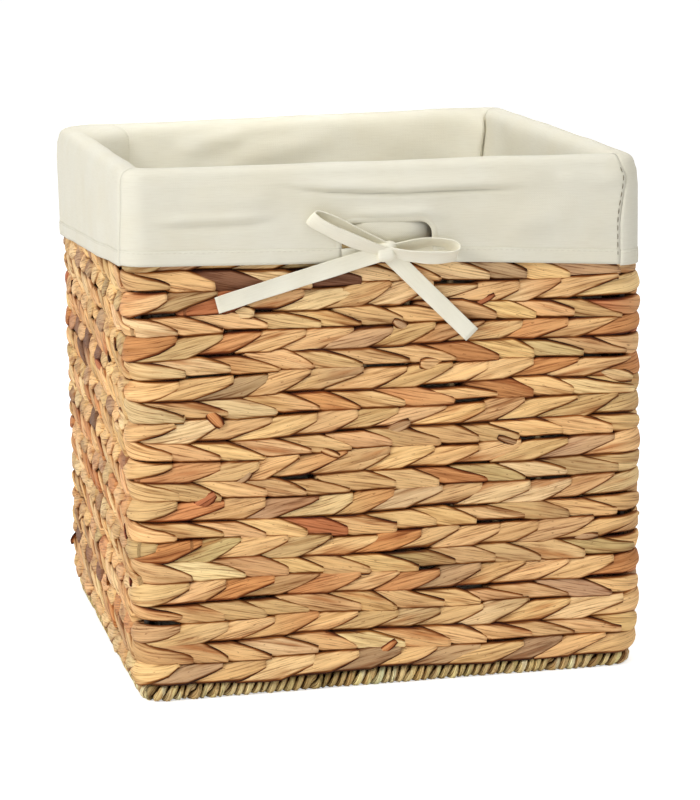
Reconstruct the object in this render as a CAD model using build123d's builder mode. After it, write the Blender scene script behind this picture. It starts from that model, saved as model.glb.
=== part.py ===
"""A square basket of twined strands on a stake frame, with a cotton liner folded over its rim.

Millimetres, +Z up. The origin is the middle of the footprint at floor level, and the front,
with its tied bow, faces -Y. The back is the front turned half round.
"""

import os
from math import cos, radians, sin, sqrt, tan

from build123d import *

os.makedirs("parts", exist_ok=True)

# Woven wall
basket_width = 307.0  # over the woven faces, left to right
basket_depth = 307.0  # over the woven faces, front to back
inner_corner_radius = 1.0  # inside corner of the wall
strand_thickness = 3.5  # one flattened strand
strand_edge_radius = 3.0  # rounding of the edges that show
row_height = 12.25
row_count = 24
weave_gap = 0.1  # between rows, and between a strand and the rods that it passes

# Frame inside the wall
rod_diameter = 4.0  # stakes, posts and wire rings, which fill the gap between two strands
stake_gaps = 11  # spaces between stakes along one wall

# Rim and base
rim_height = 9.5  # the plaited border on top of the last row
rim_edge_radius = 4.0
rope_diameter = 11.0  # the twisted border under the wall
rope_flat = 0.5  # how deep the rope is worn flat where it stands
rope_inset = 0.5  # from the woven face in to the rope's side
rope_corner_radius = 12.0  # at the rope's middle line
cord_diameter = 9.5  # the cords of the base
cord_lift = 0.5  # from the floor up to the cords
base_stake_count = 6

# Hand holes, front and back
hole_width = 75.0
hole_rows = 2
rows_over_hole = 1

# Liner
cloth_thickness = 1.0
bag_ease = 2.0  # gap between the wall's inside and the cloth
cuff_ease = 1.0  # gap between the woven face and the folded cuff
rim_ease = 1.0  # gap over the rim
floor_ease = 1.0  # gap over the base stakes
bag_corner_radius = 10.0
fold_radius = 5.0  # outside rounding of the fold over the rim
cuff_depth = 62.0
cuff_seam_setback = 14.0  # from the end of a cuff face to its corner seam
notch_width = 55.0
notch_reveal = 13.0  # hand hole height that the notch leaves open
notch_corner_radius = 8.0
hem_height = 8.0
tape_thickness = 0.6
binding_width = 3.0

# Ribbon bows
ribbon_width = 10.0
ribbon_thickness = 0.8
knot_width = 13.0
knot_depth = 9.0
knot_height = 13.0
knot_edge_radius = 3.5
knot_side_shift = 0.5  # the knot sits this far right of the middle
knot_lift = 9.0  # knot middle above the hem's lower edge
knot_gap = 0.2  # between the knot and the cuff's outer face

# Ribbon directions in the wall's plane, in degrees up from the right, and their routes:
# how far along that direction and how far out from the wall, from the knot's middle
left_loop_angle = 153.0
right_loop_angle = 1.0
left_tail_angle = 194.0
right_tail_angle = -47.0
loop_route = [
    (0.0, -1.2),
    (16.0, -2.8),
    (34.0, -3.0),
    (46.0, -2.4),
    (46.4, 3.0),
    (34.0, 4.2),
    (16.0, 3.6),
    (0.0, 1.2),
]
left_tail_route = [(0.0, 0.0), (26.0, -0.4), (54.0, -2.2), (82.0, -2.9), (108.0, -2.5)]
right_tail_route = [(0.0, 0.0), (20.0, -0.4), (42.0, -2.2), (72.0, -2.6)]

# Worked out from the sizes above
strand_space = rod_diameter + 2 * weave_gap  # between the two strands of a row
wall_thickness = 2 * strand_thickness + strand_space
outer_corner_radius = inner_corner_radius + wall_thickness
rod_inset = wall_thickness / 2  # from the woven face in to the stakes' line
wall_bottom = rope_diameter - rope_flat
wall_top = wall_bottom + row_count * row_height
rim_top = wall_top + rim_height
base_ring_z = wall_bottom + rod_diameter / 2
top_ring_z = wall_top - rod_diameter / 2
hole_top = wall_top - rows_over_hole * row_height
hole_bottom = hole_top - hole_rows * row_height
grip_z = hole_top + rod_diameter / 2
cord_top = cord_lift + cord_diameter
bag_bottom = cord_top + rod_diameter + floor_ease
liner_top = rim_top + rim_ease + cloth_thickness
cuff_bottom = liner_top - cuff_depth
bag_inset = wall_thickness + bag_ease
cuff_outset = cuff_ease + cloth_thickness
notch_top = hole_bottom + notch_reveal


def save(part, name):
    """Name a finished piece and write it."""
    part.label = name
    export_step(part, f"parts/{name}.step")


def ring_size(inset, corner):
    """Plan sizes of a rounded square that lies a distance inside the woven face."""
    return basket_width - 2 * inset, basket_depth - 2 * inset, corner


def ring_path(inset, corner, height):
    """Closed line round the basket, a distance inside the woven face."""
    with BuildSketch(Plane.XY.offset(height)) as plan:
        RectangleRounded(*ring_size(inset, corner))
    return plan.sketch.wire()


def rod_ring(path, diameter):
    """A round rod bent along a closed line."""
    with BuildPart() as ring:
        with BuildSketch(Plane(origin=path @ 0, z_dir=path % 0)):
            Circle(diameter / 2)
        sweep(path=path)
    return ring.part


# Wire rings at the foot and the head of the wall, on the line of the stakes
rod_corner_radius = outer_corner_radius - rod_inset
base_ring = rod_ring(ring_path(rod_inset, rod_corner_radius, base_ring_z), rod_diameter)
save(base_ring, "base_wire_ring")
top_ring = rod_ring(ring_path(rod_inset, rod_corner_radius, top_ring_z), rod_diameter)
save(top_ring, "top_wire_ring")

# Corner posts stand in the bends, between the two rings
post_shift = outer_corner_radius - rod_corner_radius / sqrt(2)
post_span_x = basket_width - 2 * post_shift
post_span_y = basket_depth - 2 * post_shift
stake_bottom = wall_bottom + rod_diameter
stake_top = wall_top - rod_diameter


def stand_rods(points, bottom=stake_bottom, top=stake_top):
    """Upright rods on a list of places."""
    with BuildPart() as rods:
        with BuildSketch(Plane.XY.offset(bottom)):
            with Locations(*points):
                Circle(rod_diameter / 2)
        extrude(amount=top - bottom)
    return rods.part


post_places = [(x * post_span_x / 2, y * post_span_y / 2) for x in (-1, 1) for y in (-1, 1)]
save(stand_rods(post_places), "corner_posts")


def stake_places(span):
    """Where the stakes stand along a wall, between its corner posts."""
    pitch = span / stake_gaps
    return [pitch * (i - stake_gaps / 2) for i in range(1, stake_gaps)]


stake_line_x = basket_width / 2 - rod_inset
stake_line_y = basket_depth / 2 - rod_inset
for side, sign in (("left", -1), ("right", 1)):
    save(stand_rods([(sign * stake_line_x, y) for y in stake_places(post_span_y)]), f"{side}_stakes")

# Front and back stakes stop at the hand hole, and a grip wire bridges its upper edge
clear_of_hole = (hole_width + rod_diameter) / 2
whole_stakes = [x for x in stake_places(post_span_x) if abs(x) >= clear_of_hole]
cut_stakes = [x for x in stake_places(post_span_x) if abs(x) < clear_of_hole]
grip_length = 2 * min(abs(x) for x in whole_stakes) - rod_diameter
for side, sign in (("front", -1), ("back", 1)):
    stakes_line = sign * stake_line_y
    with BuildPart() as grip_wire:
        with BuildSketch(Plane.YZ.offset(-grip_length / 2)):
            with Locations((stakes_line, grip_z)):
                Circle(rod_diameter / 2)
        extrude(amount=grip_length)
    save(grip_wire.part, f"{side}_grip_wire")
    with BuildPart() as wall_stakes:
        add(stand_rods([(x, stakes_line) for x in whole_stakes]))
        add(stand_rods([(x, stakes_line) for x in cut_stakes], top=hole_bottom))
        add(stand_rods([(x, stakes_line) for x in cut_stakes], bottom=hole_top + rod_diameter))
    save(wall_stakes.part, f"{side}_stakes")


# Twined rows: an outer and an inner strand, either side of the stakes
strand_height = row_height - weave_gap
shown_edge_radius = min(strand_edge_radius, 0.9 * strand_thickness, 0.45 * strand_height)


def rounded_band(inset, outside_shows):
    """A strand's band with its edges rounded on the side that shows."""
    inside = inset + strand_thickness
    with BuildPart() as band:
        with BuildSketch(Plane.XY.offset(wall_bottom)):
            RectangleRounded(*ring_size(inset, outer_corner_radius - inset))
            RectangleRounded(*ring_size(inside, outer_corner_radius - inside), mode=Mode.SUBTRACT)
        extrude(amount=strand_height)
        flats = band.faces().filter_by(Axis.Z)
        wires = [flat.outer_wire() if outside_shows else flat.inner_wires()[0] for flat in flats]
        fillet([edge for wire in wires for edge in wire.edges()], radius=shown_edge_radius)
    return band.part


outer_strand = rounded_band(0, True)
inner_strand = rounded_band(strand_thickness + strand_space, False)
for index in range(row_count):
    lift = index * row_height
    rows_above = row_count - 1 - index
    with BuildPart() as row:
        with Locations((0, 0, lift)):
            add(outer_strand)
            add(inner_strand)
        if rows_over_hole <= rows_above < rows_over_hole + hole_rows:
            with Locations((0, 0, wall_bottom + lift + row_height / 2)):
                Box(hole_width, basket_depth, row_height, mode=Mode.SUBTRACT)
    save(row.part, f"weave_row_{index + 1:02d}")

# Plaited border that caps the wall
with BuildPart() as rim_border:
    with BuildSketch(Plane.XY.offset(wall_top)):
        RectangleRounded(*ring_size(0, outer_corner_radius))
        RectangleRounded(*ring_size(wall_thickness, inner_corner_radius), mode=Mode.SUBTRACT)
    extrude(amount=rim_height)
    top_edges = rim_border.faces().sort_by(Axis.Z)[-1].edges()
    fillet(top_edges, radius=min(rim_edge_radius, 0.45 * wall_thickness))
save(rim_border.part, "rim_border")

# Twisted rope under the wall, flat where it stands on the floor
rope_path_inset = rope_inset + rope_diameter / 2
rope_z = rope_diameter / 2 - rope_flat
with BuildPart() as base_rope:
    add(rod_ring(ring_path(rope_path_inset, rope_corner_radius, rope_z), rope_diameter))
    split(bisect_by=Plane.XY, keep=Keep.TOP)
save(base_rope.part, "base_border_rope")

# Parallel cords fill the base inside the rope
floor_inset = rope_inset + rope_diameter
floor_width, floor_depth, _ = ring_size(floor_inset, 0)
cord_count = int(floor_depth // cord_diameter)
with BuildPart() as base_cords:
    with BuildSketch(Plane.YZ.offset(-floor_width / 2)):
        with Locations((0, cord_lift + cord_diameter / 2)):
            with GridLocations(floor_depth / cord_count, 1, cord_count, 1):
                Circle(cord_diameter / 2)
    extrude(amount=floor_width)
    add(base_rope.part, mode=Mode.SUBTRACT)
save(base_cords.part, "base_cords")

# Stakes across the base lie on the cords and end at the foot of the wall
base_stake_length = basket_depth - 2 * wall_thickness
base_stake_pitch = post_span_x / base_stake_count
with BuildPart() as base_stakes:
    with BuildSketch(Plane.XZ.offset(-base_stake_length / 2)):
        with Locations((0, cord_top + rod_diameter / 2)):
            with GridLocations(base_stake_pitch, 1, base_stake_count, 1):
                Circle(rod_diameter / 2)
    extrude(amount=base_stake_length)
save(base_stakes.part, "base_stakes")

# Liner shell: the bag inside, the fold over the rim and the cuff outside
cuff_corner_radius = outer_corner_radius + cuff_outset
bag_inside = ring_size(bag_inset + cloth_thickness, bag_corner_radius - cloth_thickness)
with BuildPart() as liner_shell:
    with BuildSketch(Plane.XY.offset(bag_bottom)):
        RectangleRounded(*ring_size(bag_inset, bag_corner_radius))
        RectangleRounded(*bag_inside, mode=Mode.SUBTRACT)
    extrude(amount=liner_top - bag_bottom)
    with BuildSketch(Plane.XY.offset(cuff_bottom)):
        RectangleRounded(*ring_size(-cuff_outset, cuff_corner_radius))
        RectangleRounded(*ring_size(-cuff_ease, cuff_corner_radius - cloth_thickness), mode=Mode.SUBTRACT)
    extrude(amount=cuff_depth)
    with BuildSketch(Plane.XY.offset(liner_top - cloth_thickness)):
        RectangleRounded(*ring_size(-cuff_outset, cuff_corner_radius))
        RectangleRounded(*bag_inside, mode=Mode.SUBTRACT)
    extrude(amount=cloth_thickness)
    underside = liner_shell.faces().filter_by(Axis.Z).sort_by(Axis.Z)[-2]
    fillet(underside.edges(), radius=fold_radius - cloth_thickness)
    fillet(liner_shell.faces().sort_by(Axis.Z)[-1].edges(), radius=fold_radius)


def panel_plan(half_length, half_depth):
    """Plan region of one panel: its wall, and on the cuff the corner at its left end, seen from outside."""
    far = basket_width + basket_depth
    cuff_u = half_length + cuff_outset
    cuff_v = half_depth + cuff_outset
    bag_u = half_length - bag_inset
    bag_v = half_depth - bag_inset
    mitre = bag_corner_radius * (1 - sqrt(0.5))  # from the bag's square corner in to its round one
    seam_u = cuff_u - cuff_seam_setback
    seam_v = cuff_v - cuff_seam_setback
    return [
        (seam_u, -far),
        (seam_u, -cuff_v),
        (bag_u - mitre, mitre - bag_v),
        (0, 0),
        (mitre - bag_u, mitre - bag_v),
        (-cuff_u, -seam_v),
        (-far, -seam_v),
        (-far, -far),
    ]


def notch_cutter(width, height, corner, start, reach):
    """A block with rounded upper corners, centred on the hem, that reaches in from the front."""
    with BuildPart() as cutter:
        with BuildSketch(Plane.XZ.offset(start)):
            with Locations((0, cuff_bottom)):
                RectangleRounded(width, 2 * height, corner)
        extrude(amount=reach)
    return cutter.part


cuff_face = basket_depth / 2 + cuff_outset
notch_height = notch_top - cuff_bottom
notch_block = notch_cutter(notch_width, notch_height, notch_corner_radius, basket_depth / 2, cuff_depth)

# Four panels turn round the basket, each sewn to the next near a corner
half_width = basket_width / 2
half_depth = basket_depth / 2
walls = [
    ("front", half_width, half_depth, 0),
    ("right", half_depth, half_width, 90),
    ("back", half_width, half_depth, 180),
    ("left", half_depth, half_width, 270),
]
for side, along, out, turn in walls:
    with BuildPart() as panel:
        add(liner_shell.part)
        with BuildSketch(Plane.XY.rotated((0, 0, turn))):
            Polygon(*panel_plan(along, out), align=None)
        extrude(amount=liner_top, mode=Mode.INTERSECT)
        if side in ("front", "back"):
            add(notch_block, rotation=(0, 0, turn), mode=Mode.SUBTRACT)
    save(panel.part, f"liner_{side}_panel")

with BuildPart() as liner_base_panel:
    with BuildSketch(Plane.XY.offset(bag_bottom)):
        RectangleRounded(*bag_inside)
    extrude(amount=cloth_thickness)
save(liner_base_panel.part, "liner_base_panel")

# Hem tape round the cuff's lower edge, open at the notches
with BuildPart() as hem_tape:
    with BuildSketch(Plane.XY.offset(cuff_bottom)):
        RectangleRounded(*ring_size(-cuff_outset - tape_thickness, cuff_corner_radius + tape_thickness))
        RectangleRounded(*ring_size(-cuff_outset, cuff_corner_radius), mode=Mode.SUBTRACT)
    extrude(amount=hem_height)
    with Locations((0, 0, cuff_bottom + hem_height / 2)):
        Box(notch_width, 2 * cuff_face + 4 * tape_thickness, hem_height, mode=Mode.SUBTRACT)
save(hem_tape.part, "hem_tape")

# Binding sewn round each notch, standing on the hem tape
with BuildPart() as notch_binding:
    outside_width = notch_width + 2 * binding_width
    outside_corner = notch_corner_radius + binding_width
    add(notch_cutter(outside_width, notch_height + binding_width, outside_corner, cuff_face, tape_thickness))
    add(notch_block, mode=Mode.SUBTRACT)
    split(bisect_by=Plane.XY.offset(cuff_bottom + hem_height), keep=Keep.TOP)

# Bow pieces, made for the front
knot_out = cuff_face + knot_gap + knot_depth / 2
knot_z = cuff_bottom + knot_lift
with BuildPart() as knot:
    with Locations((knot_side_shift, -knot_out, knot_z)):
        Box(knot_width, knot_depth, knot_height)
    fillet(knot.edges(), radius=min(knot_edge_radius, 0.45 * knot_depth))

# Tie leads run from the ends of the hem tape into the knot
with BuildPart() as tie_leads:
    with Locations((0, -cuff_face - knot_gap - ribbon_thickness / 2, cuff_bottom + hem_height / 2)):
        Box(notch_width, ribbon_thickness, hem_height)
    add(knot.part, mode=Mode.SUBTRACT)


def corner_radii(route):
    """The largest arcs that the runs of a route leave room for, one for each inner point."""
    points = [Vector(x, y) for x, y in route]
    radii = []
    for before, here, after in zip(points, points[1:], points[2:]):
        turn = (here - before).get_angle(after - here)
        shorter = min((here - before).length, (after - here).length)
        radii.append(0.45 * shorter / tan(radians(turn / 2)))
    return radii


def ribbon(name, angle, route):
    """A flat strip along a route, which leaves the knot at an angle in the wall's plane."""
    radii = corner_radii(route)
    print(f"{name} bend radii in mm:", [round(r, 1) for r in radii])
    along = Vector(cos(radians(angle)), 0, sin(radians(angle)))
    outward = Vector(0, -1, 0)
    start = Plane((knot_side_shift, -knot_out, knot_z), x_dir=along, z_dir=along.cross(outward))
    with BuildPart() as strip:
        with BuildSketch(start):
            with BuildLine():
                FilletPolyline(*route, radius=radii)
            trace(line_width=ribbon_thickness)
        extrude(amount=ribbon_width / 2, both=True)
        add(knot.part, mode=Mode.SUBTRACT)
    return strip.part


bow_pieces = {
    "notch_binding": notch_binding.part,
    "bow_knot": knot.part,
    "tie_leads": tie_leads.part,
    "bow_left_loop": ribbon("left loop", left_loop_angle, loop_route),
    "bow_right_loop": ribbon("right loop", right_loop_angle, loop_route),
    "bow_left_tail": ribbon("left tail", left_tail_angle, left_tail_route),
    "bow_right_tail": ribbon("right tail", right_tail_angle, right_tail_route),
}
for side, turn in (("front", 0), ("back", 180)):
    for name, piece in bow_pieces.items():
        with BuildPart() as placed:
            add(piece, rotation=(0, 0, turn))
        save(placed.part, f"{side}_{name}")
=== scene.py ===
"""Looks of the woven basket: twined rows, seagrass base, folded cotton liner and ribbon bows.

Everything is in metres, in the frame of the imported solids: +Z up, the photographed bow at -Y.
"""

import math

import bpy
import numpy as np
from mathutils import Matrix, Vector


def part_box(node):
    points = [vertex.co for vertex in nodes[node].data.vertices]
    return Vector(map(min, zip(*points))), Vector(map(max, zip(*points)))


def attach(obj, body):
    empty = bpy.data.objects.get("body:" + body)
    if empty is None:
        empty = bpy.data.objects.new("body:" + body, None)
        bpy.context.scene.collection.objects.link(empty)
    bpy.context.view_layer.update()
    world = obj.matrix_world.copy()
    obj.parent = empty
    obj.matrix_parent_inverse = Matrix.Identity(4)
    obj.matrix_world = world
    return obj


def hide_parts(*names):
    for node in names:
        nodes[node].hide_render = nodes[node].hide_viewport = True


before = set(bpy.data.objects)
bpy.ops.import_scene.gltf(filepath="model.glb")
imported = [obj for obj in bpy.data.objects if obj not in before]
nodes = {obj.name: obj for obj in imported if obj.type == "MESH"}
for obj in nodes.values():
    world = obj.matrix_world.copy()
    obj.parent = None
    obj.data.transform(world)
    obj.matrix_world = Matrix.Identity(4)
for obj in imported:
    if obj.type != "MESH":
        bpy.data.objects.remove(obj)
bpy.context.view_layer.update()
mm = 0.001
rng = np.random.default_rng(31)

# Sizes read from the frame
row_names = sorted(n for n in nodes if n.startswith("weave_row_"))
first_low, first_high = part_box(row_names[0])
second_low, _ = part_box(row_names[1])
wall_half = first_high[0]
wall_bottom = first_low[2]
row_pitch = second_low[2] - first_low[2]
ring_low, ring_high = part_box("top_wire_ring")
rod_diameter = ring_high[2] - ring_low[2]
rod_line = ring_high[0] - rod_diameter / 2
half_wall_thickness = wall_half - rod_line
rim_low, rim_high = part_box("rim_border")
rope_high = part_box("base_border_rope")[1]
cords_low, cords_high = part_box("base_cords")
panel_low, panel_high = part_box("liner_front_panel")
liner_top = panel_high[2]
cuff_half = -panel_low[1]
bag_bottom = panel_low[2]
cuff_foot = 250 * mm  # about the height of the hem
stakes_per_wall = 11
stakes_round = 4 * stakes_per_wall


def linear(red, green, blue):
    """Linear colour of an 8-bit screen colour."""
    channels = [c / 255 for c in (red, green, blue)]
    return tuple(c / 12.92 if c <= 0.04045 else ((c + 0.055) / 1.055) ** 2.4 for c in channels)


# Colours
golden_tan = linear(246, 202, 143)
tan = linear(235, 190, 136)
straw = linear(247, 213, 160)
orange_brown = linear(220, 154, 99)
red_brown = linear(193, 120, 80)
taupe = linear(204, 166, 126)
olive = linear(214, 183, 129)
dark_brown = linear(140, 100, 74)
hyacinth_palette = [golden_tan, tan, straw, orange_brown, red_brown, taupe, olive, dark_brown]
hyacinth_tints = (hyacinth_palette, [0.33, 0.26, 0.15, 0.08, 0.04, 0.06, 0.06, 0.02])  # and their shares
# Seagrass colours are lighter than the grass itself: painted light that makes up for the shade the base rope
# lies in under the wall
lightened_grass_palette = [linear(250, 228, 168), linear(234, 207, 146), linear(255, 243, 196), linear(200, 172, 116)]
grass_tints = (lightened_grass_palette, [0.4, 0.3, 0.18, 0.12])
cotton_white = linear(225, 221, 204)
ribbon_white = linear(238, 234, 216)
hem_thread_colour = linear(214, 209, 192)
# the seam thread's dark colour is painted shadow along the seam
seam_shadow_colour = linear(120, 112, 92)
cane_colour = linear(206, 176, 128)
wire_colour = linear(58, 48, 40)
floor_white = linear(250, 250, 250)


# Materials

def link(tree, source, target):
    """Join a socket to another one, or set it to a number, a vector or a colour."""
    if isinstance(source, bpy.types.NodeSocket):
        tree.links.new(source, target)
    elif target.type == "RGBA":
        target.default_value = (*source[:3], 1)
    else:
        target.default_value = source


def new_material(name, settings):
    """A material, its node tree and its main shader, with the shader's sockets set by name."""
    material = bpy.data.materials.new(name)
    material.use_nodes = True
    tree = material.node_tree
    shader = tree.nodes["Principled BSDF"]
    for key, value in settings.items():
        link(tree, value, shader.inputs[key])
    return material, tree, shader


def node(tree, kind, sockets=None, **settings):
    """A node with its properties set by name and its sockets joined or set."""
    made = tree.nodes.new(kind)
    for key, value in settings.items():
        setattr(made, key, value)
    for key, value in (sockets or {}).items():
        link(tree, value, made.inputs[key])
    return made


def attribute(tree, name, output):
    return node(tree, "ShaderNodeAttribute", attribute_name=name).outputs[output]


def calculated(tree, operation, *values):
    """A value worked out from numbers and sockets."""
    made = node(tree, "ShaderNodeMath", dict(enumerate(values)), operation=operation)
    return made.outputs["Value"]


def ramp(tree, source, stops):
    """A colour ramp over a value, from (position, colour) stops."""
    made = node(tree, "ShaderNodeValToRGB", {"Fac": source})
    elements = made.color_ramp.elements
    while len(elements) < len(stops):
        elements.new(0.5)
    for element, (position, colour) in zip(elements, stops):
        element.position = position
        element.color = (*colour, 1)
    return made.outputs["Color"]


def noise(tree, vector, scale, detail=3.0, rough=0.55):
    """Noise over coordinates that are scaled along each axis."""
    mapping = node(tree, "ShaderNodeMapping", {"Vector": vector, "Scale": scale}, vector_type="POINT")
    settings = {"Vector": mapping.outputs["Vector"], "Scale": 1.0, "Detail": detail, "Roughness": rough}
    return node(tree, "ShaderNodeTexNoise", settings).outputs["Fac"]


def blended(tree, kind, factor, first, second):
    """Two colours mixed by a kind of mix."""
    sockets = {"Factor": factor, 6: first, 7: second}
    return node(tree, "ShaderNodeMix", sockets, data_type="RGBA", blend_type=kind).outputs[2]


def bump(tree, shader, height, strength, distance):
    made = node(tree, "ShaderNodeBump", {"Height": height, "Strength": strength, "Distance": distance})
    link(tree, made.outputs["Normal"], shader.inputs["Normal"])


# Shares of a strand's tint that its streaks, shades, stains and specks leave, and the painted shade that
# darkens its edges between neighbouring strands
plain = (1.0, 1.0, 1.0)
streak_stops = [(0.34, (0.34, 0.21, 0.13)), (0.47, (0.90, 0.87, 0.83)), (0.70, (1.12, 1.12, 1.10))]
shade_stops = [(0.33, (0.62, 0.52, 0.41)), (0.50, plain), (0.74, (1.14, 1.12, 1.08))]
stain_stops = [(0.30, (0.56, 0.33, 0.20)), (0.45, plain), (0.72, (1.06, 1.05, 1.0))]
speck_stops = [(0.66, plain), (0.72, (0.45, 0.33, 0.26))]
edge_shade_stops = [(0.0, (0.05, 0.013, 0.002)), (0.5, (0.36, 0.19, 0.075)), (1.0, plain)]
shade_depth = 0.75
stain_depth = 0.8
speck_depth = 0.7


def fibre_material(name, fibre_scale, streak_depth, bump_height, roughness, edge_shade_width):
    """Dry plant fibre: a tint per strand, with streaks, stains, specks and ridges along it, and painted shade
    on its edges.
    """
    material, tree, shader = new_material(name, {"Roughness": roughness, "Specular IOR Level": 0.15})
    grain = attribute(tree, "fibre", "Vector")
    fine = noise(tree, grain, (34, fibre_scale, 0), 4.0, 0.62)
    broad = noise(tree, grain, (22, fibre_scale / 4, 0))
    stain = noise(tree, grain, (18, 130, 0))
    speck = noise(tree, grain, (260, 620, 0), 2.0)
    from_edge = node(tree, "ShaderNodeSeparateXYZ", {"Vector": grain}).outputs["Z"]
    jittered_edge_distance = calculated(tree, "MULTIPLY_ADD", broad, edge_shade_width, from_edge)
    edge_shade_range = {"Value": jittered_edge_distance, "From Min": 0.62 * edge_shade_width, "From Max": 1.6 * edge_shade_width}
    edge = node(tree, "ShaderNodeMapRange", edge_shade_range).outputs["Result"]
    layers = (
        (fine, streak_stops, streak_depth),
        (broad, shade_stops, shade_depth),
        (stain, stain_stops, stain_depth),
        (speck, speck_stops, speck_depth),
        # painted shade darkening the strands' edges
        (edge, edge_shade_stops, 1.0),
    )
    colour = attribute(tree, "tint", "Color")
    for source, stops, depth in layers:
        colour = blended(tree, "MULTIPLY", depth, colour, ramp(tree, source, stops))
    link(tree, colour, shader.inputs["Base Color"])
    bump(tree, shader, calculated(tree, "MULTIPLY_ADD", broad, 1.6, fine), 0.9, bump_height)
    return material


def cloth_material(name, colour, thread_pitch, weave_height, roughness):
    """Plain woven cotton: crossing threads a pitch apart, slubs, and a slight unevenness of tone."""
    sheen = {"Sheen Weight": 0.12, "Sheen Roughness": 0.6}
    material, tree, shader = new_material(name, {"Roughness": roughness, "Specular IOR Level": 0.2, **sheen})
    weave = attribute(tree, "weave", "Vector")
    split = node(tree, "ShaderNodeSeparateXYZ", {"Vector": weave})
    turns = [calculated(tree, "MULTIPLY", split.outputs[axis], 2 * math.pi / thread_pitch) for axis in "XY"]
    threads = calculated(tree, "MULTIPLY", *(calculated(tree, "SINE", turn) for turn in turns))
    across = noise(tree, weave, (90, 1500, 90), 2.0)
    along = noise(tree, weave, (1500, 90, 90), 2.0)
    cloudy = noise(tree, weave, (22, 22, 22))
    dark = tuple(0.93 * c for c in colour)
    warm = (colour[0] * 0.975, colour[1] * 0.955, colour[2] * 0.91)
    tone = ramp(tree, cloudy, [(0.35, warm), (0.60, colour)])
    slubs = ramp(tree, across, [(0.36, (0.94, 0.93, 0.92)), (0.55, plain)])
    tone = blended(tree, "MULTIPLY", 0.7, tone, slubs)
    grid = ramp(tree, threads, [(0.0, dark), (0.5, colour)])
    tone = blended(tree, "MIX", 0.25, tone, grid)
    link(tree, tone, shader.inputs["Base Color"])
    slub_height = calculated(tree, "ADD", across, along)
    bump(tree, shader, calculated(tree, "MULTIPLY_ADD", threads, 0.5, slub_height), 0.6, weave_height)
    return material


def rod_material(name, colour, grain_scale, roughness):
    """A rod with grain along it and darker patches."""
    material, tree, shader = new_material(name, {"Roughness": roughness})
    place = node(tree, "ShaderNodeTexCoord").outputs["Object"]
    grain = noise(tree, place, (grain_scale, grain_scale, 30), 4.0)
    dark = tuple(0.62 * c for c in colour)
    pale = tuple(min(1.0, 1.12 * c) for c in colour)
    link(tree, ramp(tree, grain, [(0.30, dark), (0.52, colour), (0.75, pale)]), shader.inputs["Base Color"])
    bump(tree, shader, grain, 0.5, 0.4 * mm)
    return material


hyacinth = fibre_material("hyacinth", 1000, 0.9, 0.7 * mm, 0.62, 1.6 * mm)
seagrass = fibre_material("seagrass", 700, 0.7, 1.0 * mm, 0.55, 0.1 * mm)
cotton = cloth_material("cotton", cotton_white, 1.1 * mm, 0.12 * mm, 0.9)
ribbon_cloth = cloth_material("ribbon_cloth", ribbon_white, 0.8 * mm, 0.10 * mm, 0.8)
hem_thread = cloth_material("hem_thread", hem_thread_colour, 0.6 * mm, 0.10 * mm, 0.85)
# the seam stitches carry the painted shadow along the seam
shaded_seam_thread = cloth_material("shaded_seam_thread", seam_shadow_colour, 0.6 * mm, 0.10 * mm, 0.85)
cane = rod_material("cane", cane_colour, 1500, 0.6)
wire = rod_material("frame_wire_paint", wire_colour, 900, 0.4)


# Mesh helpers

def placed(name, data):
    """An object in the scene for a mesh, a curve, a lamp or a camera."""
    made = bpy.data.objects.new(name, data)
    bpy.context.scene.collection.objects.link(made)
    return made


def mesh_object(name, points, faces, material, vectors=None, colours=None):
    """A smooth mesh object, with a vector attribute and a colour attribute on its points if given."""
    mesh = bpy.data.meshes.new(name)
    mesh.from_pydata([tuple(p) for p in points], [], [tuple(f) for f in faces])
    mesh.polygons.foreach_set("use_smooth", [True] * len(mesh.polygons))
    for label, values in (vectors or {}).items():
        layer = mesh.attributes.new(label, "FLOAT_VECTOR", "POINT")
        layer.data.foreach_set("vector", np.asarray(values, np.float32).ravel())
    if colours is not None:
        layer = mesh.attributes.new("tint", "FLOAT_COLOR", "POINT")
        rgba = np.concatenate([colours, np.ones((len(colours), 1))], axis=1)
        layer.data.foreach_set("color", rgba.astype(np.float32).ravel())
    mesh.materials.append(material)
    mesh.update()
    return placed(name, mesh)


def grid_faces(rows, columns, close_rows=False, close_columns=False, first=0):
    """Quads over a grid of points, row by row, closed round either way."""
    i = np.arange(rows if close_rows else rows - 1)
    j = np.arange(columns if close_columns else columns - 1)
    a, b = np.meshgrid(i, j, indexing="ij")
    a, b = a.ravel(), b.ravel()
    up, over = (a + 1) % rows, (b + 1) % columns
    quads = np.stack([a * columns + b, a * columns + over, up * columns + over, up * columns + b], axis=1)
    return quads + first


def run_along(points):
    """Distance along a line at each of its points."""
    return np.concatenate([[0], np.cumsum(np.linalg.norm(np.diff(points, axis=0), axis=1))])


def read_along(distance, run, values):
    """Rows of values along a line, read at distances between its points."""
    return np.stack([np.interp(distance, run, column) for column in values.T], axis=1)


def pressed(values, power):
    """Values from -1 to 1, pressed outwards where the power is below 1."""
    return np.sign(values) * np.abs(values) ** power


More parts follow.
